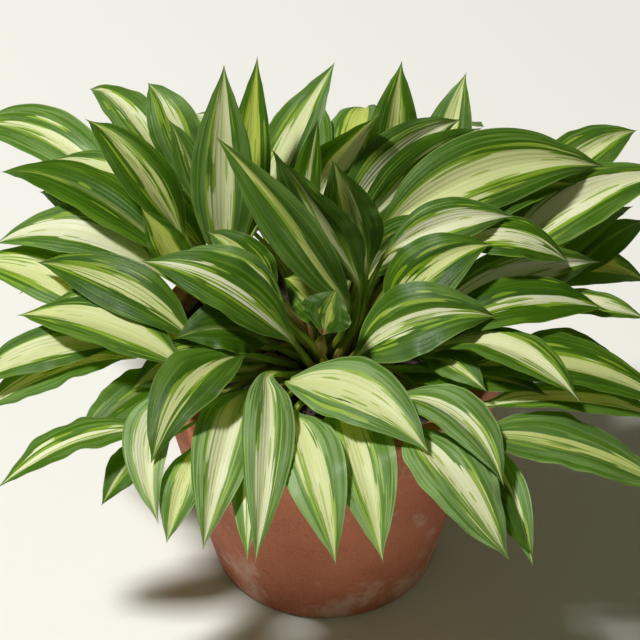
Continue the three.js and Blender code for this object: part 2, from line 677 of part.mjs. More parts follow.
// The faces of a stem. Those underneath a leaf are split along the same diagonals as those on top, so
// that the two sides of a thin, twisted blade stay apart.
function stemGeometry(stem) {
  const points = [];
  const faces = [];
  const [first, second] = stem;
  let orders = [[0, 1, 2, 3, 4, 5, 6, 7]];
  if (second) {
    const outward = second.ground.clone().sub(first.ground).normalize();
    const aside = new THREE.Vector3().crossVectors(UP, outward);
    const middle = first.ground.clone().add(second.ground).multiplyScalar(0.5).setZ(-JOINT_DEPTH);
    for (let i = 0; i < 8; i++) {
      const around = (i * Math.PI) / 4;
      const rim = aside.clone().multiplyScalar(Math.cos(around)).addScaledVector(UP, Math.sin(around));
      points.push(middle.clone().addScaledVector(rim, STUB_RADIUS));
    }
    orders = [jointOrder(first, outward.clone().negate(), aside), jointOrder(second, outward, aside)];
  } else {
    points.push(...ring(first, 0));
    for (let i = 1; i < 7; i++) faces.push(0, i, i + 1);
  }
  stem.forEach((leaf, n) => {
    const last = leaf.line.length - 1;
    let below = orders[n];
    for (let k = 1; k < last; k++) {
      const above = below.map((_, i) => points.length + i);
      points.push(...ring(leaf, k));
      for (let i = 0; i < 8; i++) {
        const j = (i + 1) % 8;
        if (i < 4) faces.push(below[i], above[j], below[j], below[i], above[i], above[j]);
        else faces.push(below[i], above[i], below[j], above[i], above[j], below[j]);
      }
      below = above;
    }
    for (let i = 0; i < 8; i++) faces.push(below[i], points.length, below[(i + 1) % 8]);
    points.push(leaf.line[last]);
  });
  const geometry = new THREE.BufferGeometry();
  geometry.setAttribute("position", new THREE.Float32BufferAttribute(points.flatMap((p) => p.toArray()), 3));
  geometry.setIndex(faces);
  geometry.translate(0, 0, SOIL_LEVEL);
  geometry.computeVertexNormals();
  return geometry;
}

const clay = new THREE.MeshStandardMaterial({ color: 0xb4694a, roughness: 0.85, metalness: 0 });
const earth = new THREE.MeshStandardMaterial({ color: 0x3a2c24, roughness: 0.95, metalness: 0 });
const foliage = new THREE.MeshStandardMaterial({ color: 0x5c8a3a, roughness: 0.42, metalness: 0 });

const plant = new THREE.Group();
function add(name, geometry, material) {
  const mesh = new THREE.Mesh(geometry, material);
  mesh.name = name;
  plant.add(mesh);
}

const leaves = plannedLeaves();
spaceOut(leaves);
leaves.forEach(layOut);
untangle(leaves);
for (const leaf of leaves) {
  leaf.line[2].z += leaf.lift ?? 0;
  setSides(leaf);
}
const stems = stemsFor(leaves);

add("pot", potGeometry(), clay);
add("soil", soilGeometry(stems), earth);
for (const stem of stems) {
  const names = stem.map((leaf) => leaf.name).join("_and_");
  add(`${stem.length > 1 ? "leaves" : "leaf"}_${names}`, stemGeometry(stem), foliage);
}

export default plant;
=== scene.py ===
"""A potted hosta: lance-shaped leaves with pale centres, which rise from one crown in a plain clay pot.
Metres, +Z up."""
import math
import random
import bmesh
import bpy
import numpy as np
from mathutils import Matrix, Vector, noise


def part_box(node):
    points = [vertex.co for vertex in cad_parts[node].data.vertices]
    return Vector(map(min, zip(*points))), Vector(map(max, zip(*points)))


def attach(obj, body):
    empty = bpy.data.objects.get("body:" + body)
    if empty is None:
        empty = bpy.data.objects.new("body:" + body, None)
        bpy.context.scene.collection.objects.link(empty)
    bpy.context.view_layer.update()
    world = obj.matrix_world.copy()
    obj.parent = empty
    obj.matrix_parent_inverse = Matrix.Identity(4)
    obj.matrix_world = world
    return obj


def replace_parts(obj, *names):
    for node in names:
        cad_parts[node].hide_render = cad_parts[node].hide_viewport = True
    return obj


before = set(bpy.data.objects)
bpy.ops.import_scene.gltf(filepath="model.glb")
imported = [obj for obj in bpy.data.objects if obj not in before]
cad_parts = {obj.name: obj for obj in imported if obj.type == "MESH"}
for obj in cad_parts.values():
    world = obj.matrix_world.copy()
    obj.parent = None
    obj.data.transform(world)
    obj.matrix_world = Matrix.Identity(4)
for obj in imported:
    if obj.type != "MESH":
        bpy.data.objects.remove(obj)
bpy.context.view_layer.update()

# The photograph's view: its tilt, its distance from the crown, and where the crown shows in its picture.
VIEW_TILT = math.radians(40)
VIEW_DISTANCE = 2.2
PIXELS = 640
PIXEL_AT_CROWN = 0.001
CROWN_PIXEL = (325, 352)
SENSOR = 36

# The stage. Each lamp has its place, the length of its side, its power and its tint.
FLOOR_REACH = 12
LAMPS = {
    "key": ((-4.4, -0.4, 9.4), 1.28, 1410, (1, 1, 0.98)),
    "fill": ((3.2, -3.2, 3.5), 4.0, 10, (1, 1, 0.8)),
}
SKY_TINT = (1, 0.99, 0.76, 1)
SKY_STRENGTH = 0.095

# The soil. Its surface is level in the crown and falls towards the wall. Each kind of roughness on it has a
# height, a fineness and a layer of the noise.
SOIL_LEVEL = 0.262
SOIL_DOME = 0.005
CROWN_EDGE = 0.076
SOIL_LIFT = 0.0008
ROUGHNESS = ((0.0026, 60, 0), (0.0016, 210, 5), (0.0008, 620, 9))
SOIL_RINGS = 110
SOIL_SPOKES = 330

# Loose crumbs on the soil.
CRUMBS = 520
CRUMB_SEED = 4
CRUMB_RADIUS = 0.0012
CRUMB_GROWTH = 0.0026
CRUMB_STRETCH = ((0.8, 1.5), (0.7, 1.1), (0.6, 0.9))
CRUMB_LUMPS = 0.35
CRUMB_LUMP_SCALE = 1.6
CRUMB_RISE = 0.35
CRUMB_FREE_EDGE = 0.006
CRUMB_SHAPES = 50

# The pot, as the model has it.
WALL = 0.010
FOOT_RADIUS = 0.118
RIM_DEPTH = 0.044
RIM_STEP = 0.009
EDGE_ROUND = 0.003
FLOOR_THICKNESS = 0.013
DRAIN_HOLES = 4
DRAIN_RADIUS = 0.007
DRAIN_CIRCLE = 0.050
DRILL_DEPTH = 0.03

# The pot's finer mesh, and the faint rings that turning leaves on it.
POT_SPOKES = 144
EDGE_STEPS = 5
SIDE_RINGS = 30
SIDE_FROM = 0.012
BAND_RINGS = 8
BAND_INSET = 0.008
TURNING_DEPTH = 0.00018
TURNING_SCALE = 190
CRISP_ANGLE = math.radians(40)

# The model's leaves: eight points a ring, from the soil's surface to the last ring before the tip. A ring's
# first five points run over the top, from margin to margin. The lowest ring is level.
RING_POINTS = 8
RINGS = 8
NECK_RING = 2
TOP_POINTS = 5
TOP_MIDDLE = 2
UNDER_MIDDLE = 6
ACROSS = np.linspace(-1, 1, TOP_POINTS)
LEVEL = 1e-4

# The finer leaf mesh: rows along the stalk and the blade, and two columns a vein. Lengths are in metres, and
# the tip curls by up to CURL radians either way.
STALK_ROWS = 14
BLADE_ROWS = 46
VEINS_A_SIDE = 8
SUNK = 0.007
BLEND = 0.12
BLADE_THICKNESS = 0.0009
THIN_SHARE = 0.25
RIB_THICKNESS = 0.0012
RIB_HALF_WIDTH = 0.0022
RIB_THINNING = 0.8
TIP_TAPER = 1.35
MOST_TAPER = 1.5
CURL = 0.7
CURL_FROM = 0.78
CURL_SPAN = 0.22
MARGIN = 0.999

# A blade's relief: pleats between the veins, two mixed waves along each margin and a furrow over the midrib.
PLEAT_SHARE = 0.034
RIPPLE_SHARE = (0.012, 0.04)
RIPPLES = (3.0, 4.6)
RIPPLE_STARTS = (0, 6)
RIPPLE_TURN = 6.28
SECOND_RIPPLE = 0.7
SECOND_RATE = 1.73
SECOND_START = 2.1
FURROW_DEPTH = 0.0006
FURROW_HALF_WIDTH = 0.0016

# Flames of colour that run along the veins. Each set has its number of strips from the midrib to a margin,
# how quickly they change along the blade, and a shift that tells it from the others.
BROAD = (6.5, 1.9, 1.0)
FINE = (13.0, 3.0, 7.0)
HALO = (8.0, 2.2, 13.0)
INNER = (9.0, 3.0, 19.0)
OUTER = (6.0, 2.4, 23.0)
BANDS = (9.0, 2.0, 29.0)
STREAKS = (7.0, 1.8, 31.0)

# How a flame is made. Strips are counted from FIRST_STRIP, wander sideways and have rounded edges.
FIRST_STRIP = 40.0
STRIP_WANDER = 0.8
STRIP_STEP = 3.7
SEED_STEP = 9.0
FLAME_SWING = 4.0
FLAME_LIFT = 0.2
FLAME_ROUNDING = 2.4

# Greens of a blade and creams of its centre. Each pair is a plain leaf's colour, then a pale or warm leaf's.
# The pale greens are partly the leaf's waxy bloom and partly a painted sheen of sunlight.
DEEP_GREEN = ((44, 82, 0), (140, 170, 106))
BRIGHT_GREEN = ((104, 142, 0), (184, 208, 150))
VIVID_GREEN = ((58, 96, 0), (94, 136, 18))
LIGHT_GREEN = ((134, 168, 18), (182, 206, 108))
LIGHT_STREAK = (184, 206, 84)
CREAM = ((250, 249, 226), (214, 224, 104))
CREAM_CLOUD = (226, 220, 164)
CREAM_STREAK = (228, 236, 178)
# Darker green along the veins: partly the veins' own green, partly painted shade in the furrows of the
# pleats.
VEIN_GREEN_AND_SHADE = (60, 108, 4)
# A thin pale line along the margin: partly the leaf's own pale rim, partly a painted highlight where light
# catches the edge.
MARGIN_RIM_AND_HIGHLIGHT = (180, 208, 110)
MIDRIB = (216, 222, 146)

# A leaf's other colours.
STALK_GREENS = ((222, 226, 132), (136, 176, 40))
STALK_FLUSH = (184, 98, 84)
UNDERSIDE = (150, 184, 90)
# The deep green that painted shade darkens a leaf towards.
PAINTED_SHADE_GREEN = (18, 40, 8)
GREEN_GLOW = (168, 208, 0)
CREAM_GLOW = (218, 224, 64)
GLOW_SHARE = 0.46

# Colours of the soil, the clay and the floor.
SOIL_COLOURS = ((38, 28, 23), (86, 68, 56))
SOIL_DAMP = (30, 23, 20)
CLAY_COLOURS = ((168, 92, 62), (196, 118, 84))
CLAY_GRAIN = (214, 150, 118)
CLAY_SPECK = (112, 62, 46)
CLAY_BLOOM = (222, 196, 174)
FLOOR_COLOUR = (216, 215, 210)

# Each pattern is the share of the half width that is cream, how far that strays from strip to strip, and
# how yellow it is.
PATTERNS = {
    "ivory": (0.41, 0.8, 0.05),
    "cream": (0.37, 0.9, 0.35),
    "butter": (0.45, 0.8, 0.5),
    "lime": (0.44, 0.8, 0.95),
    "striped": (0.22, 1.4, 0.15),
    "golden": (0.22, 1.2, 0.65),
    "narrow": (0.08, 1.0, 0.40),
    "faint": (0.12, 1.4, 0.90),
    "green": (-0.15, 1.0, 0.80),
}

# Leaves that the photograph shows: their pattern, how pale and blue the green is (partly its waxy bloom,
# partly a painted sheen of sunlight), and how much painted shade darkens the leaf as a whole. The other
# leaves draw theirs from what follows this table.
LOOKS = {
    "front_1": ("striped", 0.8, 0.05),
    "front_2": ("narrow", 0.1, 0.2),
    "front_3": ("striped", 0.7, 0.0),
    "front_4": ("cream", 0.8, 0.0),
    "front_5": ("green", 0.1, 0.3),
    "front_6": ("green", 0.1, 0.2),
    "front_7": ("butter", 0.65, 0.0),
    "front_8": ("ivory", 0.9, 0.0),
    "front_9": ("cream", 0.8, 0.0),
    "front_10": ("striped", 0.75, 0.0),
    "front_11": ("striped", 0.75, 0.0),
    "front_12": ("ivory", 1.0, 0.0),
    "front_13": ("striped", 0.7, 0.0),
    "front_14": ("lime", 0.1, 0.0),
    "front_15": ("butter", 0.6, 0.0),
    "front_16": ("golden", 0.1, 0.25),
    "left_1": ("striped", 0.21, 0.0),
    "left_2": ("striped", 0.29, 0.0),
    "left_3": ("cream", 0.13, 0.0),
    "left_4": ("striped", 0.4, 0.0),
    "left_5": ("butter", 0.17, 0.0),
    "left_6": ("cream", 0.21, 0.0),
    "left_7": ("ivory", 0.25, 0.0),
    "left_8": ("striped", 0.29, 0.0),
    "left_9": ("butter", 0.15, 0.0),
    "left_10": ("ivory", 0.29, 0.0),
    "left_11": ("cream", 0.21, 0.0),
    "left_12": ("striped", 0.29, 0.0),
    "left_13": ("golden", 0.07, 0.1),
    "left_14": ("green", 0.05, 0.1),
    "left_15": ("narrow", 0.21, 0.0),
    "left_16": ("golden", 0.05, 0.2),
    "left_17": ("green", 0.05, 0.3),
    "centre_1": ("cream", 0.25, 0.0),
    "centre_2": ("golden", 0.13, 0.0),
    "centre_3": ("lime", 0.13, 0.0),
    "centre_4": ("cream", 0.25, 0.0),
    "centre_5": ("ivory", 0.13, 0.0),
    "centre_6": ("narrow", 0.05, 0.1),
    "centre_7": ("ivory", 0.29, 0.0),
    "centre_8": ("striped", 0.13, 0.0),
    "centre_9": ("cream", 0.3, 0.0),
    "centre_10": ("lime", 0.05, 0.1),
    "centre_11": ("lime", 0.05, 0.0),
    "centre_12": ("golden", 0.08, 0.0),
    "centre_13": ("striped", 0.1, 0.05),
    "centre_14": ("ivory", 0.25, 0.0),
    "centre_15": ("faint", 0.2, 0.12),
    "centre_16": ("narrow", 0.15, 0.12),
    "centre_17": ("golden", 0.15, 0.0),
    "centre_18": ("faint", 0.2, 0.22),
    "right_1": ("golden", 0.4, 0.2),
    "right_2": ("ivory", 0.13, 0.0),
    "right_3": ("green", 0.05, 0.2),
    "right_4": ("narrow", 0.05, 0.2),
    "right_5": ("cream", 0.08, 0.15),
    "right_6": ("golden", 0.07, 0.15),
    "right_7": ("ivory", 0.25, 0.0),
    "right_8": ("narrow", 0.13, 0.0),
    "right_9": ("cream", 0.21, 0.0),
    "right_10": ("narrow", 0.21, 0.0),
    "right_11": ("ivory", 0.17, 0.0),
    "right_12": ("cream", 0.13, 0.0),
    "right_13": ("ivory", 0.17, 0.0),
    "right_14": ("lime", 0.05, 0.1),
    "right_15": ("striped", 0.05, 0.15),
    "right_16": ("cream", 0.21, 0.0),
    "right_17": ("striped", 0.08, 0.0),
    "right_18": ("butter", 0.17, 0.0),
    "right_19": ("ivory", 0.25, 0.0),
    "right_20": ("golden", 0.05, 0.05),
    "right_21": ("striped", 0.17, 0.0),
}
OTHER_PATTERNS = ["ivory", "cream", "butter", "striped", "golden", "lime", "narrow"]
OTHER_PALENESS = (0.05, 0.45)
# How much painted shade the other leaves draw.
OTHER_PAINTED_SHADE = (0.0, 0.06)
CREAM_STRAY = 0.06
WARMTH_STRAY = 0.08
SEEDS = 10

# The young leaf in front of the crown, on a pink stalk.
YOUNGEST = "centre_18"


def welded(node):
    """A node's corners, each once, and its triangles as a map from a directed edge to the third corner."""
    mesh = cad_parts[node].data
    mesh.calc_loop_triangles()
    places = {}
    index = [places.setdefault(tuple(v.co), len(places)) for v in mesh.vertices]
    third = {}
    for triangle in mesh.loop_triangles:
        a, b, c = (index[i] for i in triangle.vertices)
        third[a, b], third[b, c], third[c, a] = c, a, b
    return np.array(list(places)), third


def rings_below(tip, around, third):
    """The rings of corners from the soil up to the tip, or None where the mesh isn't a leaf there. A ring
    runs over the top from one margin to the other and back underneath. Only the corner on the first margin
    has one edge down."""
    ring = [around]
    while len(ring) < RING_POINTS:
        ring.append(third.get((ring[-1], tip)))
    if len(set(ring)) < RING_POINTS or third.get((ring[-1], tip)) != around:
        return None
    rings = [ring]
    far = TOP_POINTS - 1
    while len(rings) < RINGS:
        upper = rings[-1]
        under = [third.get(edge) for edge in zip(upper, upper[1:] + upper[:1])]
        first = [i for i in range(RING_POINTS) if third.get((upper[i], under[i])) == upper[i - 1]]
        if len(first) != 1:
            return None
        rings[-1] = upper = upper[first[0] :] + upper[: first[0]]
        under = under[first[0] :] + under[: first[0]]
        rings.append(under[:far] + [third.get((upper[far], under[far]))] + under[far : RING_POINTS - 1])
        if None in rings[-1] or len(set(rings[-1])) < RING_POINTS:
            return None
    return rings[::-1]


def leaves_of(node):
    """Each leaf of a node as its rings of points, from the soil up, and its tip."""
    corners, third = welded(node)
    neighbours = {}
    for a, b in third:
        neighbours.setdefault(b, []).append(a)
    found = []
    for tip, around in neighbours.items():
        rings = rings_below(tip, around[0], third) if len(around) == RING_POINTS else None
        if rings is None:
            continue
        rings = np.array([[corners[i] for i in ring] for ring in rings])
        if np.ptp(rings[0, :, 2]) < LEVEL:
            found.append((rings, corners[tip]))
    return sorted(found, key=lambda leaf: leaf[1][0])


def smooth(values, knots, at):
    """Values between knots, on a smooth curve through them all."""
    slopes = np.gradient(values, knots, axis=0)
    i = np.clip(np.searchsorted(knots, at, side="right") - 1, 0, len(knots) - 2)
    shape = (-1,) + (1,) * (values.ndim - 1)
    span = (knots[i + 1] - knots[i]).reshape(shape)
    t = ((at - knots[i]) / (knots[i + 1] - knots[i])).reshape(shape)
    start = (2 * t**3 - 3 * t**2 + 1) * values[i] + (t**3 - 2 * t**2 + t) * span * slopes[i]
    end = (3 * t**2 - 2 * t**3) * values[i + 1] + (t**3 - t**2) * span * slopes[i + 1]
    return start + end


def ease(x):
    """From 0 to 1 without a corner, as x goes from 0 to 1."""
    x = np.clip(x, 0, 1)
    return x * x * (3 - 2 * x)


def unit(v):
    return v / np.maximum(np.linalg.norm(v, axis=-1, keepdims=True), 1e-12)


def turn(v, axis, angle):
    """Rows of vectors v turned about rows of unit axes."""
    cosine, sine = np.cos(angle)[:, None, None], np.sin(angle)[:, None, None]
    axis = axis[:, None]
    along = np.sum(v * axis, axis=-1, keepdims=True) * axis
    return v * cosine + np.cross(axis, v) * sine + along * (1 - cosine)


def leaf_rows(top):
    """How far along the leaf the model's rings and the fine mesh's rows lie, and u at the rows. u is 0 at the
    foot of the blade and 1 at the tip, and falls to -1 down the stalk."""
    steps = np.linalg.norm(np.diff(top[:, TOP_MIDDLE], axis=0), axis=1)
    knots = np.concatenate([[0], np.cumsum(steps)])
    neck, end = knots[NECK_RING + 1], knots[-1]
    stalk = np.linspace(0, neck, STALK_ROWS, endpoint=False)
    at = np.concatenate([stalk, np.linspace(neck, end, BLADE_ROWS + 1)])
    u = np.where(at < neck, at / neck - 1, (at - neck) / (end - neck))
    return knots, at, u


def tip_taper(half, knots, at):
    """How much wider or narrower the rows past the last ring become, so that the tip runs out to a point."""
    last = knots[-2]
    end = np.clip((at - last) / (knots[-1] - last), 0, 1)
    pointed = (1 - end) ** TIP_TAPER * half[at <= last][-1] / np.maximum(half, 1e-9)
    return np.minimum(np.where(end > 0, pointed, 1), MOST_TAPER)


def ridge(c, half, width):
    """1 on the midrib, and less away from it. width is where it has fallen to about a third."""
    return np.exp(-((c * half[:, None] / width) ** 2))


def relief(u, c, half, blade, rng):
    """How far the top of a leaf stands out."""
    swell = (half * np.sin(np.pi * np.clip(u, 0, 1)) ** 0.5)[:, None]
    crest = np.where(np.arange(len(c)) % 2, 0.5, -0.5) * (1 - c**8)
    pleats = PLEAT_SHARE * swell * crest
    phases = rng.uniform(*RIPPLE_STARTS), rng.uniform(*RIPPLE_STARTS)
    waves = RIPPLE_TURN * rng.uniform(*RIPPLES) * u
    left, right = (
        np.sin(waves + start) + SECOND_RIPPLE * np.sin(SECOND_RATE * waves + SECOND_START * start)
        for start in phases
    )
    ripple = np.where(c > 0, right[:, None], left[:, None])
    ripple = rng.uniform(*RIPPLE_SHARE) * swell * ripple * np.abs(c) ** 3
    furrow = -FURROW_DEPTH * (blade * (1 - np.clip(u, 0, 1)))[:, None] * ridge(c, half, FURROW_HALF_WIDTH)
    return pleats + ripple + furrow


def thickness(u, c, half, blade, stalk):
    """How thick a leaf is: round in the stalk, and a thin skin with a rib in the blade."""
    stalk_depth = stalk[:, None] * np.sqrt(1 - c**2)
    thinning = (1 - np.clip(u, 0, 1))[:, None] ** RIB_THINNING
    rib = RIB_THICKNESS * thinning * ridge(c, half, RIB_HALF_WIDTH)
    skin = np.minimum(BLADE_THICKNESS, THIN_SHARE * half)[:, None] * (1 - c**6) + rib
    return stalk_depth * (1 - blade[:, None]) + skin * blade[:, None]


def leaf_surface(rings, tip, rng):
    """The top and the underside of one leaf as grids of points, with u along it, c from -1 to 1 across it,
    and half its width at each row."""
    foot = rings[:1, :TOP_POINTS] - [0, 0, SUNK]
    top = np.concatenate([foot, rings[:, :TOP_POINTS], np.tile(tip, (1, TOP_POINTS, 1))])
    thick = np.linalg.norm(rings[:, TOP_MIDDLE] - rings[:, UNDER_MIDDLE], axis=1)
    thick = np.concatenate([thick[:1], thick, [0]])
    knots, at, u = leaf_rows(top)
    coarse = smooth(top, knots, at)
    centre = coarse[:, TOP_MIDDLE : TOP_MIDDLE + 1]
    half = np.linalg.norm(coarse[:, -1] - coarse[:, 0], axis=1) / 2
    taper = tip_taper(half, knots, at)
    half = half * taper
    tangent = unit(np.gradient(centre[:, 0], at, axis=0))
    tangent[-1] = tangent[-2]
    curl = rng.uniform(-CURL, CURL) * ease((u - CURL_FROM) / CURL_SPAN)
    offsets = turn((coarse - centre) * taper[:, None, None], tangent, curl)
    side = unit(offsets[:, -1] - offsets[:, 0])
    side[-1] = side[-2]
    normal = np.cross(tangent, side)[:, None]
    c = np.linspace(-1, 1, 4 * VEINS_A_SIDE + 1)
    grid = smooth(np.swapaxes(centre + offsets, 0, 1), ACROSS, c)
    grid = np.swapaxes(grid, 0, 1)
    blade = ease((u + BLEND) / (2 * BLEND))
    grid = grid + normal * relief(u, c, half, blade, rng)[..., None]
    depth = thickness(u, c, half, blade, smooth(thick, knots, at))
    return grid, grid - normal * depth[..., None], u, c, half


def without_repeats(face):
    """A face turned over, without a corner that stands twice in a row."""
    face = face[::-1]
    return [i for n, i in enumerate(face) if i != face[n - 1]]


def leaf_mesh(rings, tip, rng):
    """One leaf as a thin closed solid with sharp margins: its corners and faces, and for each corner its u,
    its c, whether it is on the underside, and how far it is on the midrib."""
    top, under, u, c, half = leaf_surface(rings, tip, rng)
    rows, columns = len(u) - 1, len(c)
    corners = np.concatenate([top[:-1].reshape(-1, 3), under[:-1, 1:-1].reshape(-1, 3), top[-1:, 0]])
    point = rows * columns + rows * (columns - 2)

    def above(r, j):
        return point if r == rows else r * columns + j

    def below(r, j):
        if j in (0, columns - 1) or r == rows:
            return above(r, j)
        return rows * columns + r * (columns - 2) + j - 1

    faces = []
    for r in range(rows):
        for j in range(columns - 1):
            upper = [above(r, j), above(r + 1, j), above(r + 1, j + 1), above(r, j + 1)]
            lower = [below(r, j), below(r, j + 1), below(r + 1, j + 1), below(r + 1, j)]
            faces += [without_repeats(upper), without_repeats(lower)]
    for j in range(columns - 1):
        end = [above(0, j), above(0, j + 1), below(0, j + 1), below(0, j)]
        faces.append(without_repeats(end))
    along, across = np.meshgrid(u[:-1], c, indexing="ij")
    rib = ridge(c, half[:-1], RIB_HALF_WIDTH) * (1 - np.clip(along, 0, 1))
    underside = np.concatenate([np.zeros(rows * columns), np.ones(rows * (columns - 2)), [0]])

    def everywhere(values, at_tip):
        return np.concatenate([values.ravel(), values[:, 1:-1].ravel(), [at_tip]])

    return corners, faces, everywhere(along, 1), everywhere(across, 0), underside, everywhere(rib, 0)


def colour(red, green, blue):
    """A colour given as it looks on a screen, 0 to 255."""
    levels = [x / 255 for x in (red, green, blue)]
    return tuple(((x + 0.055) / 1.055) ** 2.4 if x > 10 / 255 else x / 12.92 for x in levels) + (1,)


class Paint:
    """A material whose nodes are made one by one."""

    def __init__(self, name):
        self.material = bpy.data.materials.new(name)
        self.material.use_nodes = True
        self.tree = self.material.node_tree
        self.tree.nodes.clear()

    def node(self, kind, inputs, **settings):
        node = self.tree.nodes.new(kind)
        for key, value in settings.items():
            setattr(node, key, value)
        for key, value in inputs.items():
            self.plug(node.inputs[key], value)
        return node

    def plug(self, socket, value):
        if isinstance(value, bpy.types.NodeSocket):
            self.tree.links.new(value, socket)
        else:
            socket.default_value = value

    def math(self, operation, *values):
        return self.node("ShaderNodeMath", dict(enumerate(values)), operation=operation).outputs[0]

    def times(self, value, factor):
        return self.math("MULTIPLY", value, factor)

    def line(self, value, slope, start):
        """value times slope, added to start."""
        return self.math("MULTIPLY_ADD", value, slope, start)

    def from_middle(self, value):
        """How far value is from the middle between two whole numbers: 0.5 on a whole number."""
        return self.math("ABSOLUTE", self.math("SUBTRACT", self.math("FRACT", value), 0.5))

    def ease(self, value, low, high, start=0.0, end=1.0):
        """From start to end, without a corner, as value goes from low to high."""
        inputs = {"Value": value, "From Min": low, "From Max": high, "To Min": start, "To Max": end}
        return self.node("ShaderNodeMapRange", inputs, interpolation_type="SMOOTHSTEP").outputs[0]

    def vector(self, x, y, z):
        return self.node("ShaderNodeCombineXYZ", {"X": x, "Y": y, "Z": z}).outputs[0]

    def parts(self, vector):
        return self.node("ShaderNodeSeparateXYZ", {0: vector}).outputs[:3]

    def attribute(self, name):
        return self.node("ShaderNodeAttribute", {}, attribute_name=name).outputs["Vector"]

    def place(self):
        return self.node("ShaderNodeTexCoord", {}).outputs["Object"]

    def noise(self, place, scale=1.0, detail=2.0, roughness=0.5):
        inputs = {"Vector": place, "Scale": scale, "Detail": detail, "Roughness": roughness}
        return self.node("ShaderNodeTexNoise", inputs).outputs[0]

    def mix(self, share, a, b):
        mixer = self.tree.nodes.new("ShaderNodeMix")
        mixer.data_type = "RGBA"
        for socket, value in zip((mixer.inputs[0], mixer.inputs[6], mixer.inputs[7]), (share, a, b)):
            self.plug(socket, value)
        return mixer.outputs[2]

    def between(self, share, pair):
        """From a pair's first colour to its second."""
        return self.mix(share, colour(*pair[0]), colour(*pair[1]))

    def bump(self, height, distance, strength=1.0):
        inputs = {"Height": height, "Distance": distance, "Strength": strength}
        return self.node("ShaderNodeBump", inputs).outputs[0]

    def principled(self, inputs):
        return self.node("ShaderNodeBsdfPrincipled", inputs).outputs[0]

    def finish(self, shader):
        self.node("ShaderNodeOutputMaterial", {"Surface": shader})
        return self.material


class LeafPaint(Paint):
    """The paint of every leaf. It knows where a point is on its leaf, and that leaf's markings and tint."""

    def __init__(self):
        super().__init__("hosta_leaf")
        self.u, self.c, self.seed = self.parts(self.attribute("place"))
        self.cream, self.streaks, self.warmth = self.parts(self.attribute("markings"))
        # A leaf's tint: how pale its green is, how much painted shade darkens it, and whether its stalk is
        # pink.
        self.paleness, self.darkness, self.blush = self.parts(self.attribute("tint"))
        self.rib, self.underside, _ = self.parts(self.attribute("build"))
        self.off = self.math("ABSOLUTE", self.c)
        self.clouds = self.leaf_noise(1.4, 2.4, self.times(self.seed, 3.0))
        self.broad = self.flames(BROAD)
        self.fine = self.flames(FINE)

    def leaf_noise(self, across, along, seed):
        """Noise that is this fine across and along the leaf."""
        place = self.vector(self.times(self.c, across), self.times(self.u, along), seed)
        return self.noise(place, detail=3.0)

    def flames(self, kind):
        """About -1 to 1: it changes from strip to strip across the leaf, and tapers to points along it."""
        strips, stretch, shift = kind
        wander = self.noise(self.vector(self.u, self.seed, shift), scale=2.0, detail=0.0)
        across = self.line(wander, STRIP_WANDER, self.line(self.c, strips, FIRST_STRIP + shift))
        strip = self.times(self.math("FLOOR", across), STRIP_STEP)
        place = self.vector(strip, self.times(self.u, stretch), self.line(self.seed, SEED_STEP, shift))
        level = self.line(self.noise(place, detail=1.0), FLAME_SWING, FLAME_LIFT - FLAME_SWING / 2)
        edge = self.from_middle(across)
        return self.line(self.times(edge, edge), -FLAME_ROUNDING, level)


def pale_areas(paint):
    """Where a blade is cream, and where it is at least light green. The cream narrows towards the tip, and
    light green lies round it. Dark strips run into the cream and light ones into the green."""
    tipward = paint.math("POWER", paint.math("MAXIMUM", paint.u, 0.0), 2.5)
    width = paint.times(paint.cream, paint.line(tipward, -0.55, 1.08))
    reach = paint.math("SUBTRACT", width, paint.off)
    reach = paint.line(paint.times(paint.broad, paint.streaks), 0.2, reach)
    reach = paint.line(paint.fine, 0.1, reach)
    halo = paint.line(paint.flames(HALO), 0.2, paint.line(reach, 1.0, 0.1))
    inner = paint.line(paint.off, -0.6, paint.line(paint.streaks, 0.25, paint.flames(INNER)))
    outer = paint.line(paint.off, -0.45, paint.line(paint.streaks, 0.15, paint.flames(OUTER)))
    green_in_cream = paint.line(paint.ease(inner, 0.80, 0.85), -0.85, 1.0)
    light_in_green = paint.times(paint.ease(outer, 0.84, 0.90), paint.math("MINIMUM", paint.streaks, 1.0))
    is_cream = paint.times(paint.ease(reach, -0.006, 0.012), green_in_cream)
    is_light = paint.math("MAXIMUM", paint.ease(halo, -0.008, 0.016), light_in_green)
    return is_cream, is_light


def margin_colour(paint):
    """The green of a blade outside its centre, in bands and streaks."""
    # Paleness makes the greens paler and bluer: partly the leaf's waxy bloom, partly a painted sheen of
    # sunlight.
    deep = paint.between(paint.paleness, DEEP_GREEN)
    bright = paint.between(paint.paleness, BRIGHT_GREEN)
    vivid = paint.between(paint.paleness, VIVID_GREEN)
    bands = paint.ease(paint.flames(BANDS), -0.3, 0.6, end=0.7)
    streaks = paint.ease(paint.line(paint.off, -0.5, paint.flames(STREAKS)), -0.25, -0.1, end=0.75)
    margin = paint.mix(bands, deep, bright)
    margin = paint.mix(paint.ease(paint.clouds, 0.35, 0.65, end=0.4), margin, bright)
    return paint.mix(streaks, margin, vivid)


def centre_colour(paint, light):
    """The cream of a blade's centre."""
    streak = paint.mix(paint.warmth, colour(*CREAM_STREAK), light)
    centre = paint.between(paint.warmth, CREAM)
    centre = paint.mix(paint.ease(paint.clouds, 0.48, 0.72, end=0.3), centre, colour(*CREAM_CLOUD))
    return paint.mix(paint.ease(paint.fine, 0.0, 0.8, end=0.3), centre, streak)


def stalk_colour(paint):
    """Pale in the channel and green at its edges, with a pink flush low down and on the young leaf."""
    flush = paint.times(paint.ease(paint.u, -0.35, -0.95), paint.ease(paint.clouds, 0.3, 0.7, 0.4, 0.9))
    flush = paint.math("MAXIMUM", flush, paint.times(paint.blush, 0.75))
    stalk = paint.between(paint.ease(paint.off, 0.3, 0.9), STALK_GREENS)
    return paint.mix(flush, stalk, colour(*STALK_FLUSH))


